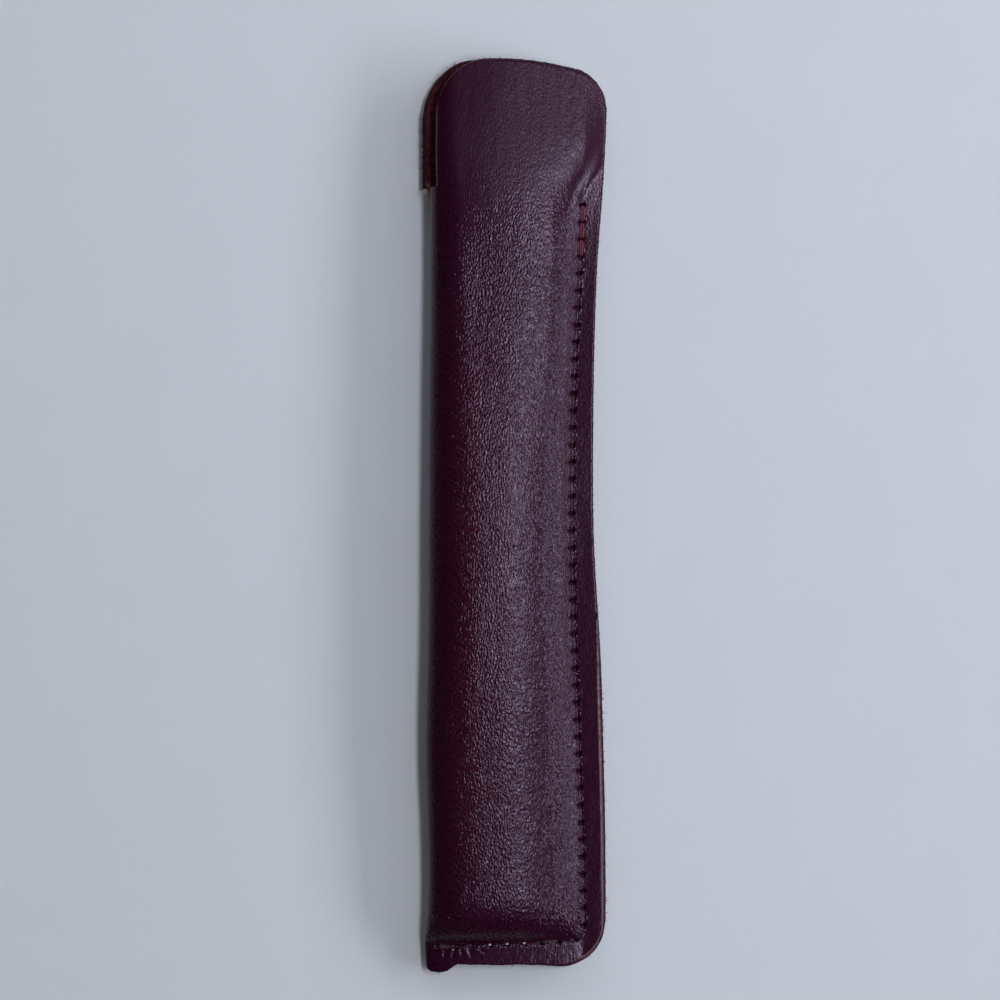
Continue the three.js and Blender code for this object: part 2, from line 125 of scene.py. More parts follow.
# Seam
STITCHES = 51
SEAM_TOP = 54.5  # first needle hole
SEAM_BOTTOM = -75.4  # bottom seam at the middle of its run
SEAM_BOTTOM_SLOPE = 0.042  # it climbs a little towards the right
SEAM_CORNER = 3  # radius of the seam's turn
SEAM_END = -13.4  # X of the last needle hole, in the end of the fold
BACKTACK = 3  # stitches sewn twice at each end
SWELL = 0.26  # the leather swells this much between two holes
CUSP = 0.16  # and is pulled in this much beside each
GROOVE = 0.08  # depth of the line that the thread presses in
PIT = 0.6  # depth of the dent in a needle hole
SLIT_SLANT = (0.82, 0.57)  # direction of the needle's slits, along and across the seam
SLIT_LENGTH = 0.44  # half of it
SLIT_WIDTH = 0.19
LINE_SHADOW = 0.24  # painted shade in the line of the seam, as a share of a needle hole's
BOTTOM_RUN = 25  # length of the bottom seam, where the marks are weaker
THREAD_SUNK = -0.45  # height of the thread in the side seam
BOTTOM_THREAD_SUNK = -0.4  # and in the bottom seam
ON_TOP_ABOVE = 45.5  # above this Y the thread lies on the leather and is red
PALE_LOOPS = (-6.5, 3.0)  # X where the bobbin thread comes up in the bottom seam, with a painted highlight on it
LOOSE_STITCH = (5.5, 9.0)  # X where the needle thread lies loose on it
THREAD_LEG = 0.3  # the thread leaves a hole this far from its middle
THREAD_RISE = 0.6  # and lies on the leather from this far on
THREAD_PLY = 0.115  # radius of each of the two strands
PLY_OFFSET = 0.09  # each strand's distance from the thread's middle
THREAD_LAY = 1.0  # length of one turn of the strands

# Slots of the leather's materials
GRAIN, FLESH, CUT, BEVEL = range(4)

# Rings of the rounded raw edge: share of the thickness, and how far each stands out
EDGE_RINGS = ((0.08, 0.09), (0.3, 0.16), (0.62, 0.15), (0.9, 0.06))

rng = np.random.default_rng(7)


def lerp(a, b, t):
    return a + (b - a) * t


def share_of(start, end, value):
    """How far value lies on the way from start to end, from 0 to 1."""
    return np.clip((value - start) / (end - start), 0, 1)


def smoothstep(start, end, value):
    t = share_of(start, end, value)
    return t * t * (3 - 2 * t)


def bell(distance, width):
    return np.exp(-((distance / width) ** 2))


def unit(vectors):
    return vectors / np.maximum(np.linalg.norm(vectors, axis=-1, keepdims=True), 1e-12)


def through(places):
    """A smooth function of Y through a few (Y, value) places."""
    ys, values = np.array(places, float).T
    slopes = np.gradient(values, ys)

    def at(y):
        y = np.clip(y, ys[0], ys[-1])
        i = np.clip(np.searchsorted(ys, y) - 1, 0, len(ys) - 2)
        width = ys[i + 1] - ys[i]
        t = (y - ys[i]) / width
        return (
            (1 + 2 * t) * (1 - t) ** 2 * values[i]
            + t * (1 - t) ** 2 * width * slopes[i]
            + t * t * (3 - 2 * t) * values[i + 1]
            + t * t * (t - 1) * width * slopes[i + 1]
        )

    return at


spine_x = through(SPINE_LINE)
seam_x = through(SEAM_LINE)
edge_x = through(EDGE_LINE)
edge_tilt = through(ALLOWANCE_TILT)
seam_lift = through(LIFT)
peak_top = through(PEAK_TOP)
flank_start = through(FLANK_STARTS)
flank_share = through(FLANK_SHARE)


def lengths_of(path):
    """Length along a path at each of its points."""
    return np.concatenate([[0], np.cumsum(np.linalg.norm(np.diff(path, axis=0), axis=1))])


def at_lengths(wanted, lengths, path):
    return np.stack([np.interp(wanted, lengths, values) for values in path.T], 1)


def ripple(x, y, wave_x, wave_y, seed, count=14):
    """A smooth random field, mostly from -1 to 1, with about these wavelengths across and along."""
    random = np.random.default_rng(seed)
    total = np.zeros(np.broadcast(x, y).shape)
    for _ in range(count):
        turn = random.uniform(0, 2 * math.pi)
        stretch = random.uniform(0.7, 1.4)
        phase = random.uniform(0, 2 * math.pi)
        kx = 2 * math.pi / wave_x * math.cos(turn) * stretch
        ky = 2 * math.pi / wave_y * math.sin(turn) * stretch
        total += np.sin(kx * x + ky * y + phase)
    return total / math.sqrt(count * 2)


# -- shape of the leather


def bottom_seam_y(x):
    return SEAM_BOTTOM + SEAM_BOTTOM_SLOPE * x


def peak_x(y):
    """X of the highest line of the front."""
    beside_spine = lerp(PEAK_LOW, PEAK_HIGH, smoothstep(*PEAK_SHIFT, y))
    return spine_x(y) + lerp(beside_spine, PEAK_LIP, smoothstep(*PEAK_TURN, y))


def left_x(y):
    """X of the fold's outermost line, which swells a little beside the seam's end."""
    swollen = 0.35 * bell(y - SEAM_BOTTOM, 3.2)
    return spine_x(y) - FOLD_REACH - swollen + 0.1 * np.sin(y / 13.0 + 1) + 0.05 * np.sin(y / 5.1)


def crease_x(y):
    """X of the bulge's foot, which leaves the seam above its first stitch and runs out to the edge."""
    run_out = smoothstep(SEAM_TOP - ABOVE_SEAM, SEAM_TOP + CREASE_AT_EDGE, y)
    return lerp(seam_x(y) - CREASE_INSIDE, edge_x(y) - CREASE_TO_EDGE, run_out)


def crown(x, y):
    """How far the peak stands above the sewn layers. It closes down to the seam at the bottom."""
    closed = share_of(CLOSING_START, bottom_seam_y(x) + CREASE_INSIDE, y) ** CLOSING_POWER
    return lerp(peak_top(y) - seam_lift(y) - SEWN_LAYERS, EAR_BULGE, closed)


def soft_above(value, sharpness):
    """value where it is above zero, rounded off to nothing below zero."""
    return np.logaddexp(0, value * sharpness) / sharpness


def allowance_tilt(x, y):
    return edge_tilt(y) * share_of(seam_x(y), edge_x(y), x)


def flank(run, y):
    """Share of the crown left at a place; run is 0 on the peak and 1 in the crease."""
    start = flank_start(y)
    share = flank_share(y)
    level = soft_above(-start, FLANK_SHARPNESS)
    slope = soft_above(run - start, FLANK_SHARPNESS) - level
    whole = soft_above(1 - start, FLANK_SHARPNESS) - level
    foot = (1 - share) * run**FLANK_FOOT_POWER
    softened = smoothstep(SEAM_TOP - ABOVE_SEAM, SEAM_TOP + FOOT_SOFTENS, y)
    return soft_above(1 - share * slope / whole - foot, lerp(*FOOT_SHARPNESS, softened))


def front_top(x, y):
    """Height of the grain side from the raw edge to the bulge's peak."""
    run = np.clip((x - peak_x(y)) / (crease_x(y) - peak_x(y)), 0, None)
    return seam_lift(y) + SEWN_LAYERS + crown(x, y) * flank(run, y) + allowance_tilt(x, y)


def back_bottom(x, y):
    """Height of the back's grain side, which lifts off the table towards the seams."""
    side = smoothstep(seam_x(y) - SIDE_LIFT_RUN, seam_x(y) - LIFT_FLAT, x)
    bottom = 1 - smoothstep(bottom_seam_y(x) + LIFT_FLAT, bottom_seam_y(x) + BOTTOM_LIFT_RUN, y)
    return seam_lift(y) * (1 - (1 - side) * (1 - bottom)) + allowance_tilt(x, y)


def round_corner(distance, radius):
    inside = np.clip(radius - distance, 0, radius)
    return radius - np.sqrt(radius**2 - inside**2)


def lip_end(x, left):
    """Y of a lip's rounded end, whose left margin is at left."""
    end = LIP_TOP - LIP_TOP_FALL * (x - LIP_TOP_PEAK) ** 2
    end = end - round_corner(x - left, LIP_CORNERS[0])
    return end - round_corner(edge_x(LIP_TOP) - x, LIP_CORNERS[1])


def spread(stretch, start, end, steps):
    """Columns of one stretch of the section, evenly from start to just before end."""
    return [(stretch, t) for t in np.linspace(start, end, steps, endpoint=False)]


# Columns of the sheet, round the whole section: each is a stretch and a share of it. They crowd beside
# the seam. The front lip ends at one column of the shoulder.
UNDER_STEPS = 16
COLUMNS = (
    spread("allowance", 0, 0.12, 4)
    + spread("allowance", 0.12, 0.64, 8)
    + spread("allowance", 0.64, 1, 12)
    + spread("front", 0, 0.075, 14)
    + spread("front", 0.075, 1, 114)
    + spread("shoulder", 0, LIP_LEFT_SHARE, 28)
    + spread("shoulder", LIP_LEFT_SHARE, 1, 16)
    + spread("under", 0, 1, UNDER_STEPS)
    + spread("back", 0, 0.8, 48)
    + spread("back", 0.8, 0.92, 12)
    + spread("back", 0.92, 1, 12)
    + [("back", 1.0)]
)
LIP_COLUMN = COLUMNS.index(("shoulder", LIP_LEFT_SHARE))
FIRST_BACK = COLUMNS.index(("back", 0))
FRONT_ENDS = FIRST_BACK - UNDER_STEPS // 2  # the front's marks end half way under the fold
CORNER_COLUMNS = 28  # columns that end in the bottom corner or just beside it
SEAM_COLUMNS = range(10, 40)  # columns with fine cells, for the seam's marks
MARGIN_STEPS = 32  # columns of the back lip's curled margin
LOW_ROWS = np.linspace(0, 1, 1089)  # from the bottom edge to the lips' root
LIP_ROWS = np.linspace(0, 1, 177)[1:]  # and on to the lips' end
ROOT_ROW = len(LOW_ROWS) - 1
BOTTOM_SEAM_ROWS = 56  # rows with fine cells, for the bottom seam's marks
SLIT_ROWS = 8  # rows of the back lip with fine cells, at the end of the slit
OUTER_CELL = (4, 2)  # grid rows and columns in one cell of the grain side
INNER_CELL = (8, 4)  # and of the flesh side
PANEL_PASSES = 4  # X and Y of an outline depend on each other, and settle in this many passes
LIP_PASSES = 6


def back_proud(y):
    """How far the back layer stands out past the front, in the lower part."""
    return BACK_LAYER_PROUD * (1 - smoothstep(-32, -12, y))


def section(stretch, t, y):
    """X and Z of one column at the places y."""
    spine = spine_x(y)
    left = left_x(y)
    peak = peak_x(y)
    top = front_top(peak, y)
    foot = back_bottom(spine, y)
    waist = lerp(foot, top, WAIST)
    angle = t * math.pi / 2
    if stretch == "allowance":
        x = lerp(edge_x(y), seam_x(y), t)
        return x, front_top(x, y)
    if stretch == "front":
        x = lerp(seam_x(y), peak, t)
        return x, front_top(x, y)
    if stretch == "shoulder":
        x = peak - (peak - left) * math.sin(angle) ** SHOULDER
        return x, waist + (top - waist) * max(0.0, math.cos(angle)) ** SHOULDER
    if stretch == "under":
        return spine - (spine - left) * math.cos(angle), waist - (waist - foot) * math.sin(angle)
    x = lerp(spine, edge_x(y) + back_proud(y), t)
    return x, back_bottom(np.minimum(x, edge_x(y)), y)


def bottom_end(stretch, t, x):
    """Y of the raw bottom edge. The fold's end sticks out as a rounded ear."""
    ear = EAR_DROP * (1 - smoothstep(EAR_FULL, EAR_STARTS, x))
    if stretch == "under":
        ear = ear * lerp(1, UNDER_EAR, t)
    proud = 0
    if stretch == "back":
        ear = ear * UNDER_EAR
        proud = BACK_LAYER_PROUD * smoothstep(-4, 10, x)
    ear = ear - round_corner(x - (spine_x(BOTTOM_EDGE) - FOLD_REACH - 0.1), EAR_CORNER)
    wave = 0.06 * np.sin(x / 1.9) + 0.04 * np.sin(x / 0.83 + 1)
    corner = round_corner(edge_x(BOTTOM_EDGE + 3) + proud - x, CORNER_RADIUS + proud)
    return BOTTOM_EDGE - proud + corner - ear + wave


def sleeve_grid():
    """Points of the grain side: rows from the bottom edge to the mouth, columns round the section."""
    low = len(LOW_ROWS)
    grid = np.full((low + len(LIP_ROWS), len(COLUMNS), 3), np.nan)
    for column, (stretch, t) in enumerate(COLUMNS):
        x = section(stretch, t, np.full(low, -70.0))[0]
        for _ in range(PANEL_PASSES):
            y = lerp(bottom_end(stretch, t, x), LIP_ROOT, LOW_ROWS)
            x, z = section(stretch, t, y)
        grid[:low, column] = np.stack([x, y, z], 1)
        if column > LIP_COLUMN:
            continue
        near_end = np.full(len(LIP_ROWS), LIP_TOP - 5)
        left = section(*COLUMNS[LIP_COLUMN], near_end)[0]
        x = section(stretch, t, near_end)[0]
        for _ in range(LIP_PASSES):
            y = lerp(LIP_ROOT, lip_end(x, left), LIP_ROWS)
            x, z = section(stretch, t, y)
        grid[low:, column] = np.stack([x, y, z], 1)
    return grid


def back_lip_grid():
    """Points of the back lip's grain side, from its curled-up left margin to its right edge."""
    rows = np.concatenate([[0], LIP_ROWS])
    columns = spread("margin", 1, 0, MARGIN_STEPS) + COLUMNS[FIRST_BACK:]
    grid = np.zeros((len(rows), len(columns), 3))
    left = spine_x(LIP_TOP) - BACK_MARGIN_REACH
    for column, (stretch, t) in enumerate(columns):
        y = np.full(len(rows), LIP_TOP - 5)
        for _ in range(LIP_PASSES):
            if stretch == "margin":
                x = spine_x(y) - BACK_MARGIN_REACH * t
                z = BACK_MARGIN_RISE * t**2 + back_bottom(spine_x(y), y)
            else:
                x, z = section(stretch, t, y)
            y = lerp(LIP_ROOT, lip_end(x, left) + BACK_LIP_LONGER, rows)
        grid[:, column] = np.stack([x, y, z], 1)
    return grid


def grid_normals(grid):
    return unit(np.cross(np.gradient(grid, axis=0), np.gradient(grid, axis=1)))


def sleeve_normals(grid):
    """Normals of the low rows and, apart from them because of the slit, of the lip."""
    normals = np.full_like(grid, np.nan)
    normals[: ROOT_ROW + 1] = grid_normals(grid[: ROOT_ROW + 1])
    lip = slice(0, LIP_COLUMN + 1)
    normals[ROOT_ROW:, lip] = grid_normals(grid[ROOT_ROW - 1 :, lip])[1:]
    return normals


# -- seam


def seam_points(step=0.08):
    """The seam's path from its first needle hole to its last."""
    corner_top = bottom_seam_y(seam_x(SEAM_BOTTOM)) + SEAM_CORNER
    y = np.linspace(SEAM_TOP, corner_top, 2600)
    side = np.stack([seam_x(y), y], 1)
    turn = side[-1]
    corner = np.array([turn[0], bottom_seam_y(turn[0])])
    after = np.array([turn[0] - SEAM_CORNER, bottom_seam_y(turn[0] - SEAM_CORNER)])
    t = np.linspace(0, 1, 100)[1:, None]
    bend = (1 - t) ** 2 * turn + 2 * t * (1 - t) * corner + t * t * after
    last = np.array([SEAM_END, bottom_seam_y(SEAM_END)])
    bottom = lerp(after, last, np.linspace(0, 1, 500)[1:, None])
    path = np.concatenate([side, bend, bottom])
    length = lengths_of(path)
    even = np.arange(0, length[-1], step)
    return at_lengths(even, length, path), even


SEAM, SEAM_LENGTHS = seam_points()
SEAM_ALONG = unit(np.gradient(SEAM, axis=0))
SEAM_LENGTH = SEAM_LENGTHS[-1]
PITCH = SEAM_LENGTH / STITCHES


def seam_place(x, y):
    """Length along the seam and distance to its inside, for points seen from above."""
    flat = np.stack([x, y], 1)
    along = np.zeros(len(flat))
    inside = np.full(len(flat), 99.0)
    near = (np.abs(flat[:, 0] - seam_x(flat[:, 1])) < 5) | (flat[:, 1] < SEAM_BOTTOM + 5)
    indices = np.nonzero(near)[0]
    for part in np.array_split(indices, max(1, len(indices) // 2000)):
        gap = flat[part, None] - SEAM[None]
        nearest = np.argmin((gap**2).sum(-1), 1)
        offset = flat[part] - SEAM[nearest]
        way = SEAM_ALONG[nearest]
        along[part] = SEAM_LENGTHS[nearest] + (way * offset).sum(-1)
        inside[part] = way[:, 1] * offset[:, 0] - way[:, 0] * offset[:, 1]
    return along, inside


def stitch_marks(along, inside):
    """How far the stitches move the leather at a place, and how deep it is in a needle hole or the seam's
    line, 0 to 1, which the grain's colour turns into painted shade.
    """
    sewn = smoothstep(-0.9, 0.1, along) * (1 - smoothstep(SEAM_LENGTH - 0.1, SEAM_LENGTH + 0.9, along))
    side = 1 - 0.8 * smoothstep(SEAM_LENGTH - BOTTOM_RUN - 3, SEAM_LENGTH - BOTTOM_RUN, along)
    hole = (along / PITCH - np.round(along / PITCH)) * PITCH
    arch = np.abs(np.sin(math.pi * along / PITCH)) ** 0.5
    swell = SWELL * side * arch * bell(inside - 0.5, 0.4)
    cusp = CUSP * side * bell(hole, 0.3) * bell(inside - 0.4, 0.3)
    off_line = inside + 0.05
    groove = GROOVE * bell(off_line, 0.2)
    lengthwise = hole * SLIT_SLANT[0] + off_line * SLIT_SLANT[1]
    crosswise = hole * SLIT_SLANT[1] - off_line * SLIT_SLANT[0]
    pit = bell(crosswise, SLIT_WIDTH) * np.exp(-((lengthwise / SLIT_LENGTH) ** 4))
    # Painted shade along the line of the seam.
    shadow = LINE_SHADOW * bell(inside + 0.1, 0.4)
    return sewn * (swell - cusp - groove - PIT * pit), sewn * np.maximum(pit, shadow)


# Short creases that the seam's end pulls into the ear: the start and end of each.
EAR_CREASES = [
    ((-10.3, -76.0), (-11.2, -78.9)), ((-8.1, -76.0), (-7.3, -78.4)), ((-9.4, -76.2), (-9.0, -78.0)),
    ((-12.2, -76.3), (-12.4, -79.2)), ((-13.2, -76.5), (-15.2, -77.1)), ((-6.6, -75.9), (-4.6, -77.3)),
]


def ear_creases(x, y):
    """Relief of the ear's creases: narrow furrows, each with a raised bank on one side."""
    total = np.zeros_like(x)
    for (x0, y0), (x1, y1) in EAR_CREASES:
        length = math.hypot(x1 - x0, y1 - y0)
        way = ((x1 - x0) / length, (y1 - y0) / length)
        along = (x - x0) * way[0] + (y - y0) * way[1]
        across = (x - x0) * way[1] - (y - y0) * way[0]
        reach = smoothstep(-0.2, 0.4, along) * (1 - smoothstep(length * 0.4, length, along))
        total += reach * (bell(across - 0.5, 0.35) * 0.6 - bell(across, 0.3))
    return total


def edge_highlight_share(r, c, y):
    """How much painted highlight the grain gets, 0 to 1: beside the lower right edge and the front lip's
    left margin.
    """
    lower_edge = ((c <= 2) | ((r <= 2) & (c < CORNER_COLUMNS))) * (1 - smoothstep(-34, -14, y))
    lip_margin = (r > ROOT_ROW) * np.clip((c - LIP_COLUMN + 4) / 3, 0, 1)
    return np.maximum(lower_edge, 0.8 * lip_margin)


def leather_marks(x, y, is_front):
    """The grain side's relief, its needle hole depth that sets the painted shade in the holes and the
    seam's line, and how calm the grain is, -1 to 1.
    """
    along, inside = seam_place(x, y)
    push, pit = stitch_marks(along, inside)
    beside_seam = bell(inside - 2.2, 2.0)
    folds = 0.016 * ripple(x, y, 9, 26, 3) + 0.006 * ripple(x, y, 2.6, 9, 4)
    wrinkles = 0.005 * (1 + 1.6 * beside_seam) * ripple(x, y, 0.9, 2.6, 5, 30)
    front = push + folds + wrinkles + 0.08 * ear_creases(x, y)
    back = np.minimum(0.25 * push, 0) - 0.02 * np.abs(folds)
    allowance = 1 - smoothstep(-0.9, -0.2, inside)
    lip = 0.8 * smoothstep(38, 64, y)
    flat = allowance * (1 - smoothstep(SEAM_TOP - 2, SEAM_TOP + 6, y))
    calm = np.maximum(flat, lip) - bell(inside - 3, 6) * (1 - allowance) * (1 - smoothstep(48, 60, y))
    return np.where(is_front, front, back), np.where(is_front, pit, 0), calm


# -- meshes


def cells_of(rows, columns, root_row, lip_column, size):
    """Cells as first row and column, last row and column. Above root_row they end at lip_column."""
    for r in range(0, rows - 1, size[0]):
        last = lip_column if r >= root_row else columns - 1
        for c in range(0, last, size[1]):
            yield r, c, min(r + size[0], rows - 1), min(c + size[1], last)


def split_where(is_fine, cells):
    """The cells, with those where is_fine says so split into single grid cells."""
    split = []
    for r0, c0, r1, c1 in cells:
        if is_fine(r0, c0):
            split += [(r, c, r + 1, c + 1) for r in range(r0, r1) for c in range(c0, c1)]
        else:
            split.append((r0, c0, r1, c1))
    return split


def corners_of(cells):
    return {(r, c) for r0, c0, r1, c1 in cells for r in (r0, r1) for c in (c0, c1)}


def ring_of(r0, c0, r1, c1):
    """Places on the outline of a cell, in order."""
    return (
        [(r0, c) for c in range(c0, c1)]
        + [(r, c1) for r in range(r0, r1)]
        + [(r1, c) for c in range(c1, c0, -1)]
        + [(r, c0) for r in range(r1, r0, -1)]
    )


def border_of(rows, columns, root_row, lip_column):
    """Places on the outline of the whole sheet, in order."""
    border = [(0, c) for c in range(columns)] + [(r, columns - 1) for r in range(1, root_row + 1)]
    if root_row < rows - 1:
        border += [(root_row, c) for c in range(columns - 2, lip_column - 1, -1)]
        border += [(r, lip_column) for r in range(root_row + 1, rows)]
        border += [(rows - 1, c) for c in range(lip_column - 1, -1, -1)]
    else:
        border += [(rows - 1, c) for c in range(columns - 2, -1, -1)]
    return border + [(r, 0) for r in range(rows - 2, 0, -1)]


def ring_faces(first, second):
    """Faces between two closed rings of point numbers."""
    count = len(first)
    return [[first[i], first[(i + 1) % count], second[(i + 1) % count], second[i]] for i in range(count)]


def add_raw_edge(points, faces, slots, outer, inner, bevelled, fray):
    """Joins a sheet's two sides, given as their borders' point numbers, with a rounded, frayed edge."""
    ring_outer = np.array([points[i] for i in outer])
    ring_inner = np.array([points[i] for i in inner])
    tangent = unit(np.roll(ring_outer, -1, 0) - np.roll(ring_outer, 1, 0))
    outward = unit(np.cross(ring_outer - ring_inner, tangent))
    last = outer
    for strip, (share, swell) in enumerate(EDGE_RINGS):
        rough = swell + fray * rng.normal(0, 1, (len(outer), 1))
        ring = lerp(ring_outer, ring_inner, share) + outward * rough
        ring[:, 2] = np.maximum(ring[:, 2], ABOVE_TABLE)
        here = list(range(len(points), len(points) + len(ring)))
        points.extend(ring)
        faces += ring_faces(last, here)
        slots += [BEVEL if bevel and strip == 0 else CUT for bevel in bevelled]
        last = here
    faces += ring_faces(last, inner)
    slots += [CUT] * len(inner)
    return ring_outer, ring_inner, outward


def widths_from(anchor, grid):
    """How far each grid point lies from the anchor column, along the leather."""
    steps = np.linalg.norm(np.diff(np.nan_to_num(grid), axis=1), axis=-1)
    widths = np.pad(np.cumsum(steps, axis=1), ((0, 0), (1, 0)))
    return widths - widths[:, anchor : anchor + 1]


def make_sheet(name, smooth, normals, root_row, lip_column, is_fine, is_front, is_bevelled, fray):
    """A closed sheet of leather over a grid of its smooth grain side. Cells keep every grid point where
    is_fine says so, and are merged elsewhere. Gives the piece, its raw edge and its points' places."""
    extent = (*smooth.shape[:2], root_row, lip_column)
    outer_cells = split_where(is_fine, cells_of(*extent, OUTER_CELL))
    inner_cells = list(cells_of(*extent, INNER_CELL))
    walk = border_of(*extent)
    outer_places = corners_of(outer_cells) | {(r, c) for r, c in walk if r % 2 == 0 and c % 2 == 0}
    border = [place for place in walk if place in outer_places]
    outer_places = sorted(outer_places)
    inner_places = sorted(corners_of(inner_cells) | set(border))
    outer_index = {place: i for i, place in enumerate(outer_places)}
    inner_index = {place: i + len(outer_places) for i, place in enumerate(inner_places)}

    r, c = np.array(outer_places).T
    flat = smooth[r, c]
    out, pit, calm = leather_marks(flat[:, 0], flat[:, 1], is_front(c))
    outer = flat + normals[r, c] * out[:, None]
    outer[:, 2] = np.maximum(outer[:, 2], ABOVE_TABLE)
    inner_r, inner_c = np.array(inner_places).T
    inner = smooth[inner_r, inner_c] - normals[inner_r, inner_c] * LEATHER
    points = list(outer) + list(inner)
    faces = [[outer_index[k] for k in reversed(ring_of(*cell)) if k in outer_index] for cell in outer_cells]
    faces += [[inner_index[k] for k in ring_of(*cell) if k in inner_index] for cell in inner_cells]
    slots = [GRAIN] * len(outer_cells) + [FLESH] * len(inner_cells)
    border_outer = [outer_index[place] for place in border]
    border_inner = [inner_index[place] for place in border]
    bevelled = [is_bevelled(*place, smooth[place]) for place in border]
    edge = add_raw_edge(points, faces, slots, border_outer, border_inner, bevelled, fray)

    piece = make_mesh(name, points, faces, slots)
    every_r, every_c = np.array(outer_places + inner_places + border * len(EDGE_RINGS)).T
    widths = widths_from(lip_column, smooth)
    add_uv(piece, "blank", widths[every_r, every_c] * MM, smooth[every_r, every_c, 1] * MM)
    add_value(piece, "hole_and_line_shade", pit)
    add_value(piece, "calm", calm)
    return piece, edge, (every_r, every_c)


def make_mesh(name, points, faces, slots=None):
    mesh = bpy.data.meshes.new(name)
    mesh.from_pydata((np.asarray(points) * MM).tolist(), [], faces)
    mesh.polygons.foreach_set("use_smooth", [True] * len(mesh.polygons))
    if slots is not None:
        mesh.polygons.foreach_set("material_index", slots)
    mesh.update()
    piece = bpy.data.objects.new(name, mesh)
    bpy.context.scene.collection.objects.link(piece)
    return piece


def add_uv(piece, name, u, v):
    layer = piece.data.uv_layers.new(name=name)
    corners = np.zeros(len(piece.data.loops), int)
    piece.data.loops.foreach_get("vertex_index", corners)
    layer.data.foreach_set("uv", np.stack([u[corners], v[corners]], 1).ravel())


def add_value(piece, name, values):
    """A number on each point for the shaders. Points after the given ones get 0."""
    layer = piece.data.attributes.new(name, "FLOAT", "POINT")
    every = np.zeros(len(piece.data.vertices))
    every[: len(values)] = values
    layer.data.foreach_set("value", every)


# -- materials


class Shader:
    """Short calls that add nodes to one material."""

    def __init__(self, name):
        self.material = bpy.data.materials.new(name)
        self.material.use_nodes = True
        self.tree = self.material.node_tree
        self.surface = self.tree.nodes["Principled BSDF"]

    def put(self, socket, value):
        if isinstance(value, bpy.types.NodeSocket):
            self.tree.links.new(value, socket)
        else:
            socket.default_value = value

    def add(self, kind, inputs=(), **settings):
        node = self.tree.nodes.new(kind)
        for key, value in settings.items():
            setattr(node, key, value)
        for key, value in dict(inputs).items():
            self.put(node.inputs[key], value)
        return node

    def set(self, **inputs):
        for key, value in inputs.items():
            self.put(self.surface.inputs[key.replace("_", " ")], value)

    def uv(self, name):
        """The UV map's place in millimetres."""
        node = self.add("ShaderNodeUVMap", uv_map=name)
        return self.scaled(node.outputs[0], (1000, 1000, 1000))

    def value(self, name):
        return self.add("ShaderNodeAttribute", attribute_name=name).outputs["Fac"]

    def math(self, operation, a, b=0.0):
        return self.add("ShaderNodeMath", {0: a, 1: b}, operation=operation).outputs[0]

    def scaled(self, vector, scale):
        return self.add("ShaderNodeVectorMath", {0: vector, 1: scale}, operation="MULTIPLY").outputs[0]

    def noise(self, vector, scale, detail=3.0, roughness=0.55, color=False):
        inputs = {"Vector": vector, "Scale": scale, "Detail": detail, "Roughness": roughness}
        return self.add("ShaderNodeTexNoise", inputs).outputs["Color" if color else "Fac"]

    def wobbled(self, vector, scale, amount):
        """The vector, pushed about by noise."""
        push = self.noise(vector, scale, 2.0, color=True)
        centred = self.add("ShaderNodeVectorMath", {0: push, 1: (0.5, 0.5, 0.5)}, operation="SUBTRACT")
        step = self.scaled(centred.outputs[0], (amount, amount, 0))
        return self.add("ShaderNodeVectorMath", {0: vector, 1: step}, operation="ADD").outputs[0]

    def cells(self, vector, scale):
        """How far each place is from the border of its cell."""
        inputs = {"Vector": vector, "Scale": scale}
        return self.add("ShaderNodeTexVoronoi", inputs, feature="DISTANCE_TO_EDGE").outputs["Distance"]

    def ramp(self, value, low, high, to_low=0.0, to_high=1.0):
        inputs = {"Value": value, "From Min": low, "From Max": high, "To Min": to_low, "To Max": to_high}
        return self.add("ShaderNodeMapRange", inputs, interpolation_type="SMOOTHSTEP").outputs["Result"]

    def product(self, first, *others):
        for value in others:
            first = self.math("MULTIPLY", first, value)
        return first

    def mix(self, share, a, b):
        return self.add("ShaderNodeMix", {0: share, 6: a, 7: b}, data_type="RGBA").outputs[2]

    def sum(self, *parts):
        """The sum of (share, value) parts."""
        terms = [self.math("MULTIPLY", value, share) for share, value in parts]
        total = terms[0]
        for term in terms[1:]:
            total = self.math("ADD", total, term)
        return total

    def bump(self, height, distance, strength=1.0):
        inputs = {"Height": height, "Distance": distance, "Strength": strength}
        return self.add("ShaderNodeBump", inputs).outputs[0]


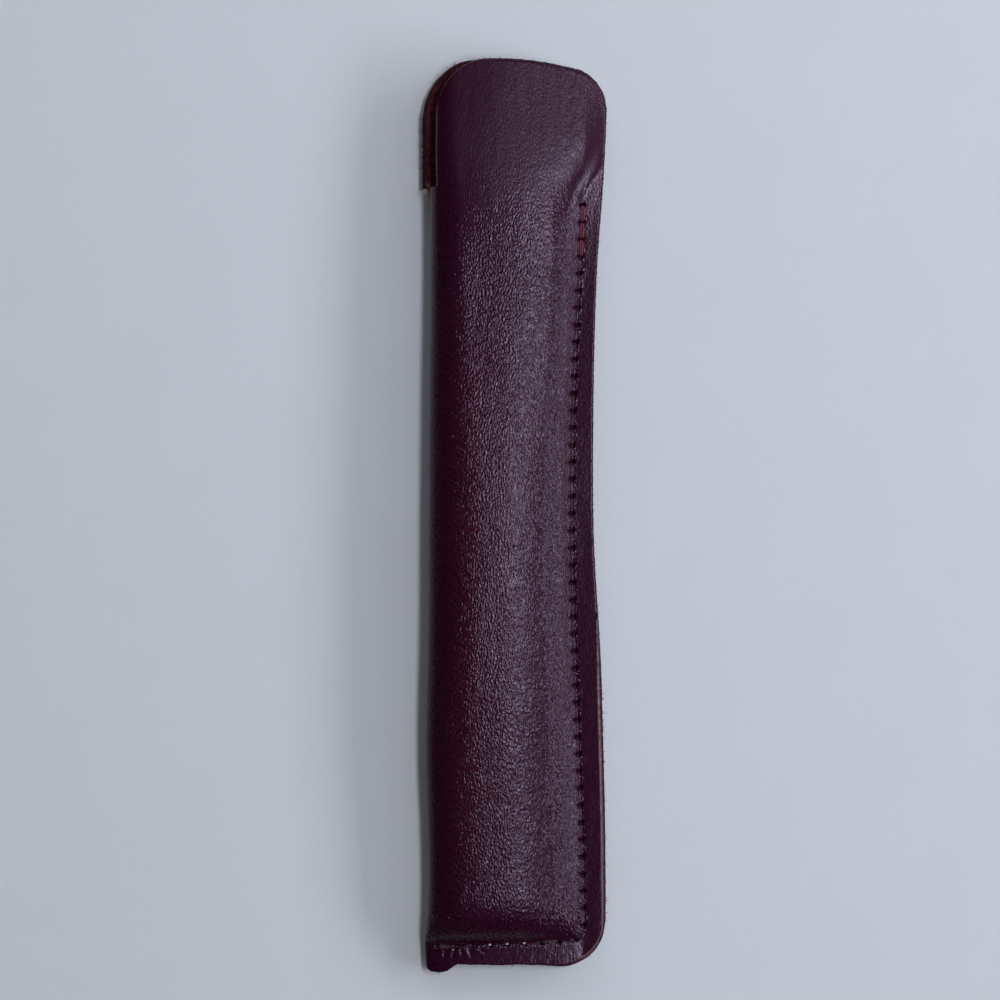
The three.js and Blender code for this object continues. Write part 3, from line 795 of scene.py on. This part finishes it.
def grain_material():
    """Oxblood calf: a fine even grain of short wrinkles, red where it is rubbed, with painted shade in its
    valleys and needle holes and a painted highlight along the lower right edge and the front lip's margin.
    """
    s = Shader("leather_grain")
    blank = s.uv("blank")
    place = s.wobbled(blank, 0.3, 0.9)
    wrinkles = s.noise(s.scaled(place, (3.1, 1.7, 1)), 1.0, 0.0, 0.4)
    creases = s.ramp(s.cells(s.scaled(place, (2.4, 1.5, 1)), 1.0), 0.0, 0.25)
    pores = s.noise(place, 9.0, 1.0, 0.6)
    height = s.sum((0.9, wrinkles), (0.16, creases), (0.05, pores))
    across, up = s.add("ShaderNodeSeparateXYZ", {0: blank}).outputs[:2]
    band = s.product(s.ramp(across, -15, -9), s.ramp(across, -1, -5))
    rubbed = s.product(band, s.product(s.ramp(up, 48, 20), s.ramp(up, -76, -50)))
    broad = s.noise(place, 0.05, 3.0, 0.5)
    rubbed = s.sum((0.85, rubbed), (0.15, s.ramp(broad, 0.4, 0.7)))

    # Painted shade: the grain's valleys are coloured darker.
    valley_shade = (0.015, 0.0008, 0.0058, 1)
    body = (0.034, 0.0022, 0.0150, 1)
    red = (0.046, 0.0036, 0.0120, 1)
    # Painted highlight: paler along the lower right edge and the front lip's left margin.
    painted_edge_highlight = (0.12, 0.085, 0.085, 1)
    # Painted shade: nearly black in the needle holes and along the seam's line.
    hole_shade_colour = (0.002, 0.0004, 0.0008, 1)
    colour = s.mix(s.ramp(height, 0.38, 0.66), valley_shade, s.mix(rubbed, body, red))
    colour = s.mix(s.ramp(s.value("painted_edge_highlight"), 0.1, 1.0), colour, painted_edge_highlight)
    colour = s.mix(s.ramp(s.value("hole_and_line_shade"), 0.15, 0.6), colour, hole_shade_colour)

    shine = s.ramp(height, 0.4, 0.75, 0.25, 0.15)
    on_lip = s.ramp(up, 50, 66)
    rough = s.sum((1.0, shine), (0.07, on_lip))
    rough = s.math("MAXIMUM", rough, s.ramp(s.value("hole_and_line_shade"), 0.1, 0.5, 0.0, 0.7))
    depth = s.ramp(s.value("calm"), -1.0, 1.0, 2.5, 0.3)
    level = s.math("SUBTRACT", height, 0.55)
    normal = s.bump(s.product(level, depth), 0.00006)
    s.set(Base_Color=colour, Roughness=rough, Normal=normal)
    s.set(Specular_IOR_Level=0.3, Specular_Tint=(1.0, 0.80, 1.02, 1))
    return s.material


def flesh_material():
    """The raw inner side: short red nap, with painted shade along the back lip's margins."""
    s = Shader("leather_flesh")
    place = s.uv("blank")
    nap = s.noise(s.scaled(place, (1, 0.6, 1)), 2.6, 4.0, 0.65)
    clumps = s.noise(place, 0.9, 3.0, 0.6)
    tufts = s.sum((0.55, nap), (0.45, clumps))
    colour = s.mix(s.ramp(tufts, 0.4, 0.6), (0.016, 0.0010, 0.004, 1), (0.24, 0.026, 0.05, 1))
    # Painted shade: darker beside the back lip's rolled raw edge and where the front lip shades it.
    colour = s.mix(s.product(s.value("painted_margin_shade"), 0.6), colour, (0.008, 0.0008, 0.002, 1))
    s.set(Base_Color=colour, Roughness=0.9, Normal=s.bump(tufts, 0.0006, 0.9), Specular_IOR_Level=0.2)
    s.set(Sheen_Weight=0.2, Sheen_Roughness=0.5, Sheen_Tint=(0.7, 0.2, 0.28, 1))
    return s.material


def cut_material(name, dark, light):
    """The raw cut through the leather."""
    s = Shader(name)
    place = s.uv("blank")
    strands = s.noise(s.scaled(place, (1.5, 1.5, 1)), 4.0, 4.0, 0.7)
    colour = s.mix(s.ramp(strands, 0.35, 0.68), dark, light)
    s.set(Base_Color=colour, Roughness=0.8, Normal=s.bump(strands, 0.00015, 0.8), Specular_IOR_Level=0.3)
    return s.material


def thread_material():
    """Twisted thread: red where it lies on the leather, darker brown where it is sunk in the seam, partly
    its own colour and partly painted shade, and pale where a painted highlight sits on the bobbin thread's
    loops.
    """
    s = Shader("sewing_thread")
    spot = s.add("ShaderNodeTexCoord").outputs["Object"]
    fibres = s.noise(spot, 9000.0, 2.0, 0.6)
    thread_on_top = s.value("thread_on_top")
    # Darker brown of the sunk stitches: partly the thread's own colour, partly painted shade.
    rubbed = s.mix(fibres, (0.03, 0.012, 0.018, 1), (0.09, 0.042, 0.052, 1))
    red = s.mix(fibres, (0.10, 0.010, 0.020, 1), (0.24, 0.035, 0.055, 1))
    colour = s.mix(thread_on_top, rubbed, red)
    # Painted highlight on the bobbin thread's loops that come up in the bottom seam.
    colour = s.mix(s.value("pale"), colour, (0.55, 0.42, 0.45, 1))
    s.set(Base_Color=colour, Roughness=0.55, Normal=s.bump(fibres, 0.00003, 0.5), Specular_IOR_Level=0.4)
    s.set(Sheen_Weight=0.15, Sheen_Roughness=0.4)
    return s.material


def fibre_material(name, dark, light):
    s = Shader(name)
    spot = s.add("ShaderNodeTexCoord").outputs["Object"]
    shade = s.noise(spot, 1500.0, 2.0, 0.6)
    s.set(Base_Color=s.mix(s.ramp(shade, 0.35, 0.65), dark, light), Roughness=0.75)
    return s.material


def floor_material():
    s = Shader("pale_board")
    spot = s.add("ShaderNodeTexCoord").outputs["Object"]
    mottle = s.noise(spot, 60.0, 4.0, 0.6)
    colour = s.mix(s.ramp(mottle, 0.3, 0.7), (0.76, 0.775, 0.79, 1), (0.77, 0.785, 0.80, 1))
    tooth = s.noise(spot, 2500.0, 2.0, 0.6)
    s.set(Base_Color=colour, Roughness=0.75, Normal=s.bump(tooth, 0.00006, 0.4), Specular_IOR_Level=0.25)
    return s.material


# -- pieces


def finish_leather(piece, materials):
    for material in materials:
        piece.data.materials.append(material)
    piece.data.set_sharp_from_angle(angle=math.radians(50))


def blend_at_root(piece):
    """Bakes the piece's transform into its mesh."""
    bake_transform(piece)


def make_sleeve(materials):
    smooth = sleeve_grid()

    def is_fine(r, c):
        return r < ROOT_ROW and (c in SEAM_COLUMNS or (r < BOTTOM_SEAM_ROWS and c < LIP_COLUMN))

    def is_front(c):
        return c < FRONT_ENDS

    def is_bevelled(r, c, place):
        lip_margin = r > ROOT_ROW and place[0] < -6
        lower_edge = (c == 0 or r == 0 and c < CORNER_COLUMNS) and place[1] < -18
        return lip_margin or lower_edge

    piece, edge, (r, c) = make_sheet(
        "leather_sleeve", smooth, sleeve_normals(smooth), ROOT_ROW, LIP_COLUMN,
        is_fine, is_front, is_bevelled, fray=0.03,
    )
    add_value(piece, "painted_edge_highlight", edge_highlight_share(r, c, smooth[r, c, 1]))
    finish_leather(piece, materials)
    blend_at_root(piece)
    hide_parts("front_panel", "back_panel", "spine_fold", "front_lip")
    return edge


def make_back_lip(materials):
    smooth = back_lip_grid()
    rows, columns = smooth.shape[:2]
    normals = grid_normals(smooth)

    def is_fine(r, c):
        return c < MARGIN_STEPS and r < SLIT_ROWS

    def is_front(c):
        return np.zeros(c.shape, bool)

    def is_bevelled(r, c, place):
        return False

    piece, edge, (r, c) = make_sheet(
        "leather_back_lip", smooth, normals, rows - 1, columns - 1,
        is_fine, is_front, is_bevelled, fray=0.05,
    )
    # Painted shade on the flesh side: beside the rolled raw edge and in the front lip's shadow.
    beside_edge = 1 - smoothstep(1.5, 4.5, c)
    beside_front_lip = smoothstep(11, 16, c)
    add_value(piece, "painted_margin_shade", np.maximum(beside_edge, beside_front_lip))
    finish_leather(piece, materials)
    blend_at_root(piece)
    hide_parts("back_lip")
    return edge, smooth, normals


def tube(path, radius, sides, points, faces):
    """Adds a closed tube along a path to the lists."""
    along = unit(np.gradient(path, axis=0))
    side = np.zeros_like(path)
    normal = unit(np.cross(along[0], [0.3, 0.2, 0.9]))
    for i, way in enumerate(along):
        normal = normal - way * np.dot(normal, way)
        normal = normal / np.linalg.norm(normal)
        side[i] = normal
    other = np.cross(along, side)
    angles = np.linspace(0, 2 * math.pi, sides, endpoint=False)
    radius = np.broadcast_to(radius, len(path))
    first = len(points)
    for i in range(len(path)):
        spokes = np.cos(angles)[:, None] * side[i] + np.sin(angles)[:, None] * other[i]
        points.extend(path[i] + radius[i] * spokes)
    for i in range(len(path) - 1):
        for j in range(sides):
            k = (j + 1) % sides
            a = first + i * sides
            faces.append([a + j, a + k, a + sides + k, a + sides + j])
    faces.append([first + j for j in reversed(range(sides))])
    faces.append([first + (len(path) - 1) * sides + j for j in range(sides)])


def fibre(root, way, length, radius, points, faces):
    """Adds one loose fibre that curls away from its root."""
    curl = rng.normal(0, 0.45, 3)
    steps = np.linspace(0, 1, 5)[:, None]
    path = root + length * (way * steps + curl * steps**2)
    path[:, 2] = np.maximum(path[:, 2], radius)
    tube(path, radius * np.linspace(1, 0.35, 5), 3, points, faces)


def edge_fibres(edge, chance, lengths, radius, points, faces):
    """Tufts of fibres out of a raw edge. chance(place) is how many there are per border point."""
    ring_outer, ring_inner, outward = edge
    for start, end, away in zip(ring_outer, ring_inner, outward):
        if np.isnan(start).any() or rng.random() > chance(start):
            continue
        tuft = lerp(start, end, rng.uniform(0.1, 0.9))
        lean = unit(away + rng.normal(0, 0.35, 3))
        for _ in range(rng.integers(2, 7)):
            root = tuft + rng.normal(0, 0.07, 3)
            way = unit(lean + rng.normal(0, 0.3, 3))
            fibre(root, way, rng.uniform(*lengths), radius * rng.uniform(0.7, 1.3), points, faces)


def finish_fibres(name, points, faces, materials, first_pale):
    slots = [0 if i < first_pale else 1 for i in range(len(faces))]
    piece = make_mesh(name, points, faces, slots)
    for material in materials:
        piece.data.materials.append(material)
    return piece


def make_back_lip_fibres(edge, smooth, normals, materials):
    """The fuzzy edge of the back lip, the nap of its margin and the pale tuft at the end of the slit."""
    points = []
    faces = []
    nap_fibres = 900
    nap_columns = 24
    slit_fibres = 260
    slit_columns = 26

    def chance(place):
        x, y, _ = place
        if x > 12 or y < LIP_ROOT + 0.5:
            return 0
        return 0.45 if x < -4 else 0.15

    edge_fibres(edge, chance, (0.2, 0.6), 0.05, points, faces)
    for _ in range(nap_fibres):
        r = rng.integers(0, len(smooth))
        c = rng.integers(0, nap_columns)
        root = smooth[r, c] - normals[r, c] * (LEATHER - 0.03)
        way = unit(-normals[r, c] + rng.normal(0, 0.7, 3))
        fibre(root, way, rng.uniform(0.15, 0.4), 0.032, points, faces)
    first_pale = len(faces)
    for _ in range(slit_fibres):
        c = rng.integers(0, slit_columns)
        root = smooth[0, c] - normals[0, c] * rng.uniform(0.0, LEATHER)
        rise = 0.4 if root[0] < -15 else 1.6
        way = unit(np.array([rng.normal(0.2, 0.35), -1.0, rng.normal(rise, 0.4)]))
        fibre(root, way, rng.uniform(0.5, 1.0 + rise), 0.05, points, faces)
    piece = finish_fibres("back_lip_fibres", points, faces, materials, first_pale)
    blend_at_root(piece)


def make_sleeve_fibres(edge, materials):
    """Fibres of the raw right and bottom edges, and a pale tuft by the last red stitch."""
    points = []
    faces = []
    pale_tuft = ((11.05, 46.2), (10.95, 45.7), (11.2, 45.9))

    def chance(place):
        x, y, z = place
        if x > 13 and y < 50 and z < 2.4:
            return 0.12 if y < -15 else 0.03
        return 0.06 if x < 14 and y < -78 else 0

    edge_fibres(edge, chance, (0.2, 0.5), 0.036, points, faces)
    first_pale = len(faces)
    for x, y in pale_tuft:
        root = np.array([x, y, front_top(x, y) + 0.15])
        fibre(root, unit(np.array([-0.8, rng.normal(0.3, 0.3), 0.4])), 0.75, 0.03, points, faces)
    piece = finish_fibres("sleeve_fibres", points, faces, materials, first_pale)
    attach(piece, "pouch")


def smooth_path(points, step):
    """A Catmull-Rom curve through the points, in even steps."""
    points = np.asarray(points, float)
    padded = np.concatenate([[2 * points[0] - points[1]], points, [2 * points[-1] - points[-2]]])
    fine = []
    for i in range(len(points) - 1):
        p0, p1, p2, p3 = padded[i : i + 4]
        t = np.linspace(0, 1, 9)[:-1, None]
        linear = (p2 - p0) * t
        square = (2 * p0 - 5 * p1 + 4 * p2 - p3) * t**2
        cube = (3 * p1 - p0 - 3 * p2 + p3) * t**3
        fine.append(0.5 * (2 * p1 + linear + square + cube))
    fine = np.concatenate(fine + [points[-1:]])
    length = lengths_of(fine)
    even = np.linspace(0, length[-1], max(2, int(length[-1] / step)))
    return at_lengths(even, length, fine), even


def make_thread(name, is_needle, material):
    """A two-ply thread: on one face between the holes, and down to the lock in each of them."""
    lengths = np.linspace(0, SEAM_LENGTH, STITCHES + 1)
    xy = at_lengths(lengths, SEAM_LENGTHS, SEAM)
    along = unit(at_lengths(lengths, SEAM_LENGTHS, SEAM_ALONG))
    inward = np.stack([along[:, 1], -along[:, 0]], 1)
    up = 1 if is_needle else -1
    bottom_stitches = 9
    first_bottom = STITCHES - bottom_stitches

    def at(i, forward, inside, height):
        """A place by the i-th hole, height above the face that the thread lies on."""
        x, y = xy[i] + along[i] * forward + inward[i] * inside
        face = front_top(x, y) if is_needle else back_bottom(x, y)
        return [x, y, face + up * height]

    def lock(i, forward):
        x, y = xy[i] + along[i] * forward
        if not is_needle and i > first_bottom and PALE_LOOPS[0] < x < PALE_LOOPS[1]:
            return [x, y, front_top(x, y) - 0.02]
        return [x, y, (front_top(x, y) + back_bottom(x, y)) / 2 - up * 0.2]

    def stitch(i, j, inside, height):
        """From the i-th hole to the j-th: up out of the hole, along the face and down."""
        way = 1 if j > i else -1
        return [
            at(i, THREAD_LEG * way, inside * 0.6, -0.36), at(i, THREAD_RISE * way, inside, height),
            at(j, -THREAD_RISE * way, inside, height), at(j, -THREAD_LEG * way, inside * 0.6, -0.36),
        ]

    def depth(i):
        if not is_needle or xy[i][1] > ON_TOP_ABOVE:
            return 0.04
        if i < first_bottom:
            return THREAD_SUNK
        return 0.02 if LOOSE_STITCH[0] < xy[i][0] < LOOSE_STITCH[1] else BOTTOM_THREAD_SUNK

    points = [at(BACKTACK, 0, 0.0, -0.7)]
    for i in range(BACKTACK, 0, -1):
        points += stitch(i, i - 1, -0.2, 0.02) + [lock(i - 1, 0.05)]
    for i in range(STITCHES):
        points += [lock(i, 0.1)] + stitch(i, i + 1, 0.16, depth(i)) + [lock(i + 1, -0.1)]
    for i in range(STITCHES, STITCHES - BACKTACK, -1):
        points += stitch(i, i - 1, -0.15, BOTTOM_THREAD_SUNK) + [lock(i - 1, 0.05)]

    middle, run = smooth_path(points, 0.12)
    way = unit(np.gradient(middle, axis=0))
    side = unit(np.cross(way, [0.31, 0.17, 0.93]))
    other = np.cross(way, side)
    sides = 6
    mesh_points = []
    faces = []
    for ply in range(2):
        angle = run * 2 * math.pi / THREAD_LAY + ply * math.pi
        offset = np.cos(angle)[:, None] * side + np.sin(angle)[:, None] * other
        tube(middle + PLY_OFFSET * offset, THREAD_PLY, sides, mesh_points, faces)
    piece = make_mesh(name, mesh_points, faces)
    piece.data.materials.append(material)
    thread_on_top = smoothstep(ON_TOP_ABOVE - 1, ON_TOP_ABOVE + 1, middle[:, 1])
    add_value(piece, "thread_on_top", np.tile(np.repeat(thread_on_top, sides), 2))
    pale = smoothstep(2.9, 3.1, middle[:, 2]) if not is_needle else np.zeros(len(middle))
    add_value(piece, "pale", np.tile(np.repeat(pale, sides), 2))
    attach(piece, "pouch")
    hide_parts("needle_thread" if is_needle else "bobbin_thread")


# -- camera, light and floor


def make_camera():
    """A long lens straight above the sleeve."""
    view_centre = (-2.46, 2.64)
    view_width = 175.8
    distance = 1100
    aim_height = 5
    camera = bpy.data.cameras.new("camera")
    camera.sensor_width = 36
    camera.lens = camera.sensor_width * distance / view_width
    holder = bpy.data.objects.new("camera", camera)
    holder.location = (view_centre[0] * MM, view_centre[1] * MM, (distance + aim_height) * MM)
    bpy.context.scene.collection.objects.link(holder)
    bpy.context.scene.camera = holder


def make_light(name, place, size, radiance, colour):
    """A soft window, in metres, that faces the sleeve."""
    light = bpy.data.lights.new(name, "AREA")
    light.shape = "RECTANGLE"
    light.size, light.size_y = size
    light.energy = radiance * math.pi * size[0] * size[1]
    light.color = colour
    holder = bpy.data.objects.new(name, light)
    holder.location = place
    holder.rotation_euler = (-Vector(place)).to_track_quat("-Z", "Y").to_euler()
    holder.visible_camera = False
    bpy.context.scene.collection.objects.link(holder)


def make_surroundings():
    bpy.ops.mesh.primitive_plane_add(size=3, location=(0, 0, -0.00005))
    floor = bpy.context.object
    floor.name = "floor"
    floor.data.materials.append(floor_material())
    make_light("high_window", (0.34, 0.01, 1.15), (0.48, 0.17), 17.2, (0.93, 0.96, 1.07))
    make_light("middle_window", (0.64, 0.08, 1.01), (1.0, 0.24), 0.4, (0.93, 0.95, 1.08))
    make_light("side_window", (0.95, 0.1, 0.72), (1.3, 0.26), 0.6, (0.93, 0.95, 1.08))
    make_light("low_window", (1.1, 0.1, 0.45), (1.4, 0.26), 9.0, (0.88, 0.96, 1.1))
    make_light("far_window", (0.1, 0.74, 0.43), (1.3, 0.5), 1.1, (0.90, 0.97, 1.08))
    world = bpy.data.worlds.new("room")
    world.use_nodes = True
    background = world.node_tree.nodes["Background"].inputs
    background["Color"].default_value = (0.92, 1.0, 1.0, 1)
    background["Strength"].default_value = 0.06
    bpy.context.scene.world = world
    bpy.context.scene.view_settings.view_transform = "Standard"


make_camera()
make_surroundings()
leather = [
    grain_material(),
    flesh_material(),
    cut_material("leather_cut", (0.006, 0.0008, 0.002, 1), (0.034, 0.006, 0.010, 1)),
    # The bevel's pale colour is a painted highlight along the lower right edge and the front lip's margin.
    cut_material("leather_bevel_highlight", (0.05, 0.04, 0.043, 1), (0.16, 0.13, 0.135, 1)),
]
sleeve_edge = make_sleeve(leather)
lip_edge, lip_smooth, lip_normals = make_back_lip(leather)
fibre_materials = [
    fibre_material("leather_fibres", (0.02, 0.003, 0.006, 1), (0.13, 0.016, 0.03, 1)),
    fibre_material("pale_fibres", (0.3, 0.12, 0.12, 1), (0.85, 0.62, 0.56, 1)),
]
make_sleeve_fibres(sleeve_edge, fibre_materials)
make_back_lip_fibres(lip_edge, lip_smooth, lip_normals, fibre_materials)
thread = thread_material()
make_thread("needle_thread_twisted", True, thread)
make_thread("bobbin_thread_twisted", False, thread)
